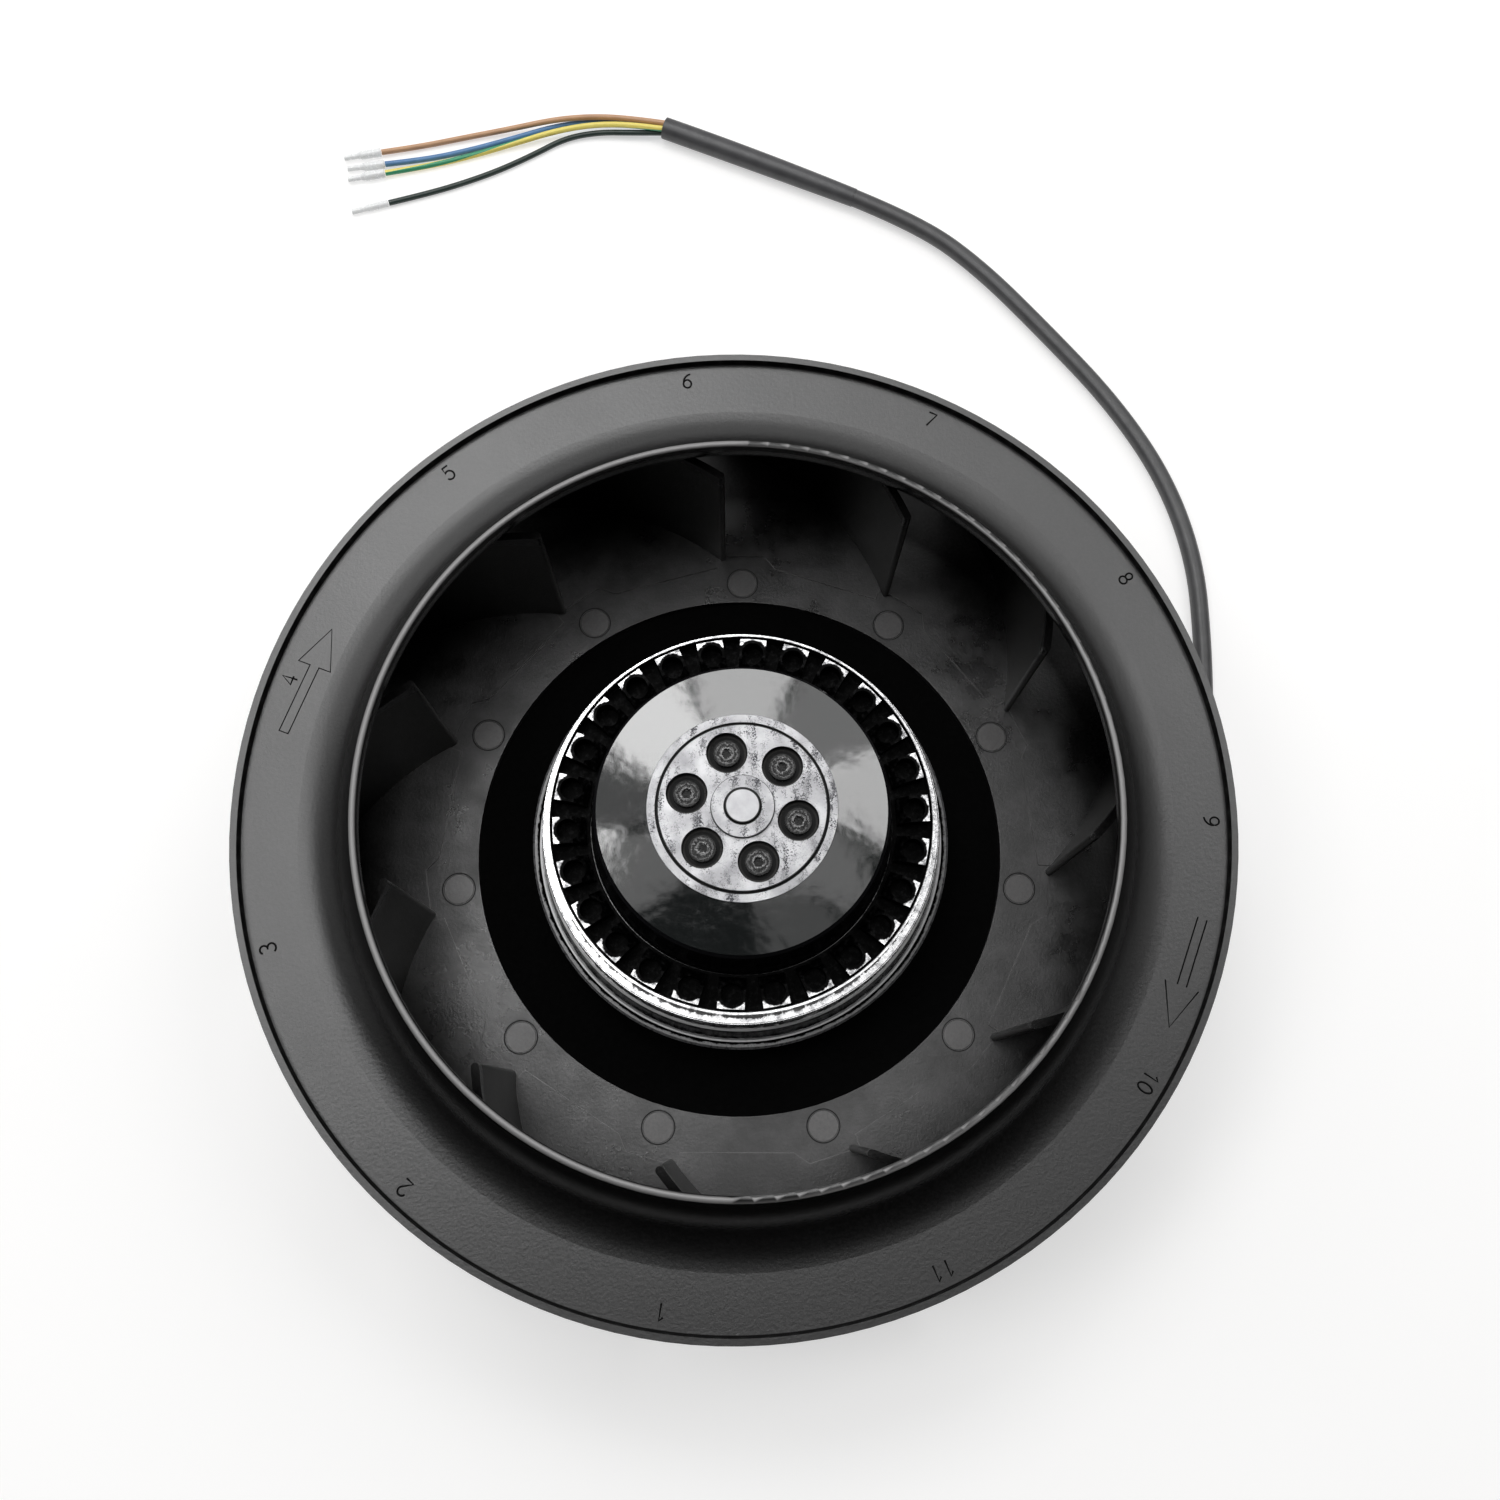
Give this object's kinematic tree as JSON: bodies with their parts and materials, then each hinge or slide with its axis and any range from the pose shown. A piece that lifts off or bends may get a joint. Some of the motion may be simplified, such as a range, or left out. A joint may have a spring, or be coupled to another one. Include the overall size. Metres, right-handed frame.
{
  "type": "centrifugal fan",
  "caption": "Backward-curved centrifugal wheel on an external-rotor motor with a flange mount, an open inlet eye and a short supply cable with loose leads.",
  "frame": {"origin": "centre of the flange's mounting face, on the shaft's axis", "axes": "+Z along the shaft towards the inlet, +X to the right and +Y away from a viewer who looks down at the inlet"},
  "size_m": [0.2372, 0.3236, 0.071],
  "materials": {
    "impeller_plastic": "satin glass-filled, fine grain",
    "ring_steel": "dull black",
    "rotor_gloss_black": "high gloss",
    "hub_metal": "scratched satin",
    "screw_steel": "plain",
    "label_foil": "glossy foil",
    "shaft_steel": "ground",
    "spring_steel": "blued",
    "sheet_steel": "stacked sheets",
    "cast_aluminium": "as cast",
    "bearing_steel": "polished",
    "insulator_plastic": "moulded",
    "copper_wire": "enamelled copper",
    "protector_plastic": "moulded",
    "relief_rubber": "matte",
    "cable_sheath": "satin",
    "end_sleeve": "satin shrink sleeve",
    "brown_lead": "satin",
    "blue_lead": "satin",
    "green_yellow_lead": "striped",
    "black_lead": "satin",
    "ferrule_plastic": "pale translucent"
  },
  "bodies": {
    "stator": {"stator_flange": "cast_aluminium", "bearing_rear_outer_ring": "bearing_steel", "bearing_rear_balls": "bearing_steel", "bearing_front_outer_ring": "bearing_steel", "bearing_front_balls": "bearing_steel", "stator_core": "sheet_steel", "insulator_rear": "insulator_plastic", "insulator_front": "insulator_plastic", "main_winding": "copper_wire", "auxiliary_winding": "copper_wire", "thermal_protector": "protector_plastic", "preload_washer": "spring_steel", "dust_cap": "ring_steel", "earth_screw": "screw_steel", "coil_leads": "black_lead", "cable_relief": "relief_rubber", "cable_clamp": "spring_steel", "clamp_screws": "screw_steel", "cable_sheath": "cable_sheath", "cable_end_sleeve": "end_sleeve", "lead_brown": "brown_lead", "ferrule_brown": "ferrule_plastic", "lead_blue": "blue_lead", "ferrule_blue": "ferrule_plastic", "lead_green_yellow": "green_yellow_lead", "ferrule_green_yellow": "ferrule_plastic", "lead_black": "black_lead", "ferrule_black": "ferrule_plastic"},
    "rotor": {"impeller_shroud": "impeller_plastic", "impeller_back_plate": "impeller_plastic", "blade_01": "impeller_plastic", "blade_02": "impeller_plastic", "blade_03": "impeller_plastic", "blade_04": "impeller_plastic", "blade_05": "impeller_plastic", "blade_06": "impeller_plastic", "blade_07": "impeller_plastic", "blade_08": "impeller_plastic", "blade_09": "impeller_plastic", "blade_10": "impeller_plastic", "blade_11": "impeller_plastic", "plate_studs": "impeller_plastic", "mounting_ring": "ring_steel", "rotor_cup": "rotor_gloss_black", "balance_ring": "rotor_gloss_black", "rotor_hub": "hub_metal", "hub_screws": "screw_steel", "label_ring": "label_foil", "shaft": "shaft_steel", "retaining_ring": "spring_steel", "rotor_laminations": "sheet_steel", "cage_ring_rear": "cast_aluminium", "cage_ring_front": "cast_aluminium", "bearing_rear_inner_ring": "bearing_steel", "bearing_front_inner_ring": "bearing_steel"}
  },
  "joints": [
    {"name": "impeller_spin", "type": "hinge", "parent": "stator", "child": "rotor", "pos_m": [0, 0, 0.03], "axis": [0, 0, 1], "continuous": true}
  ]
}
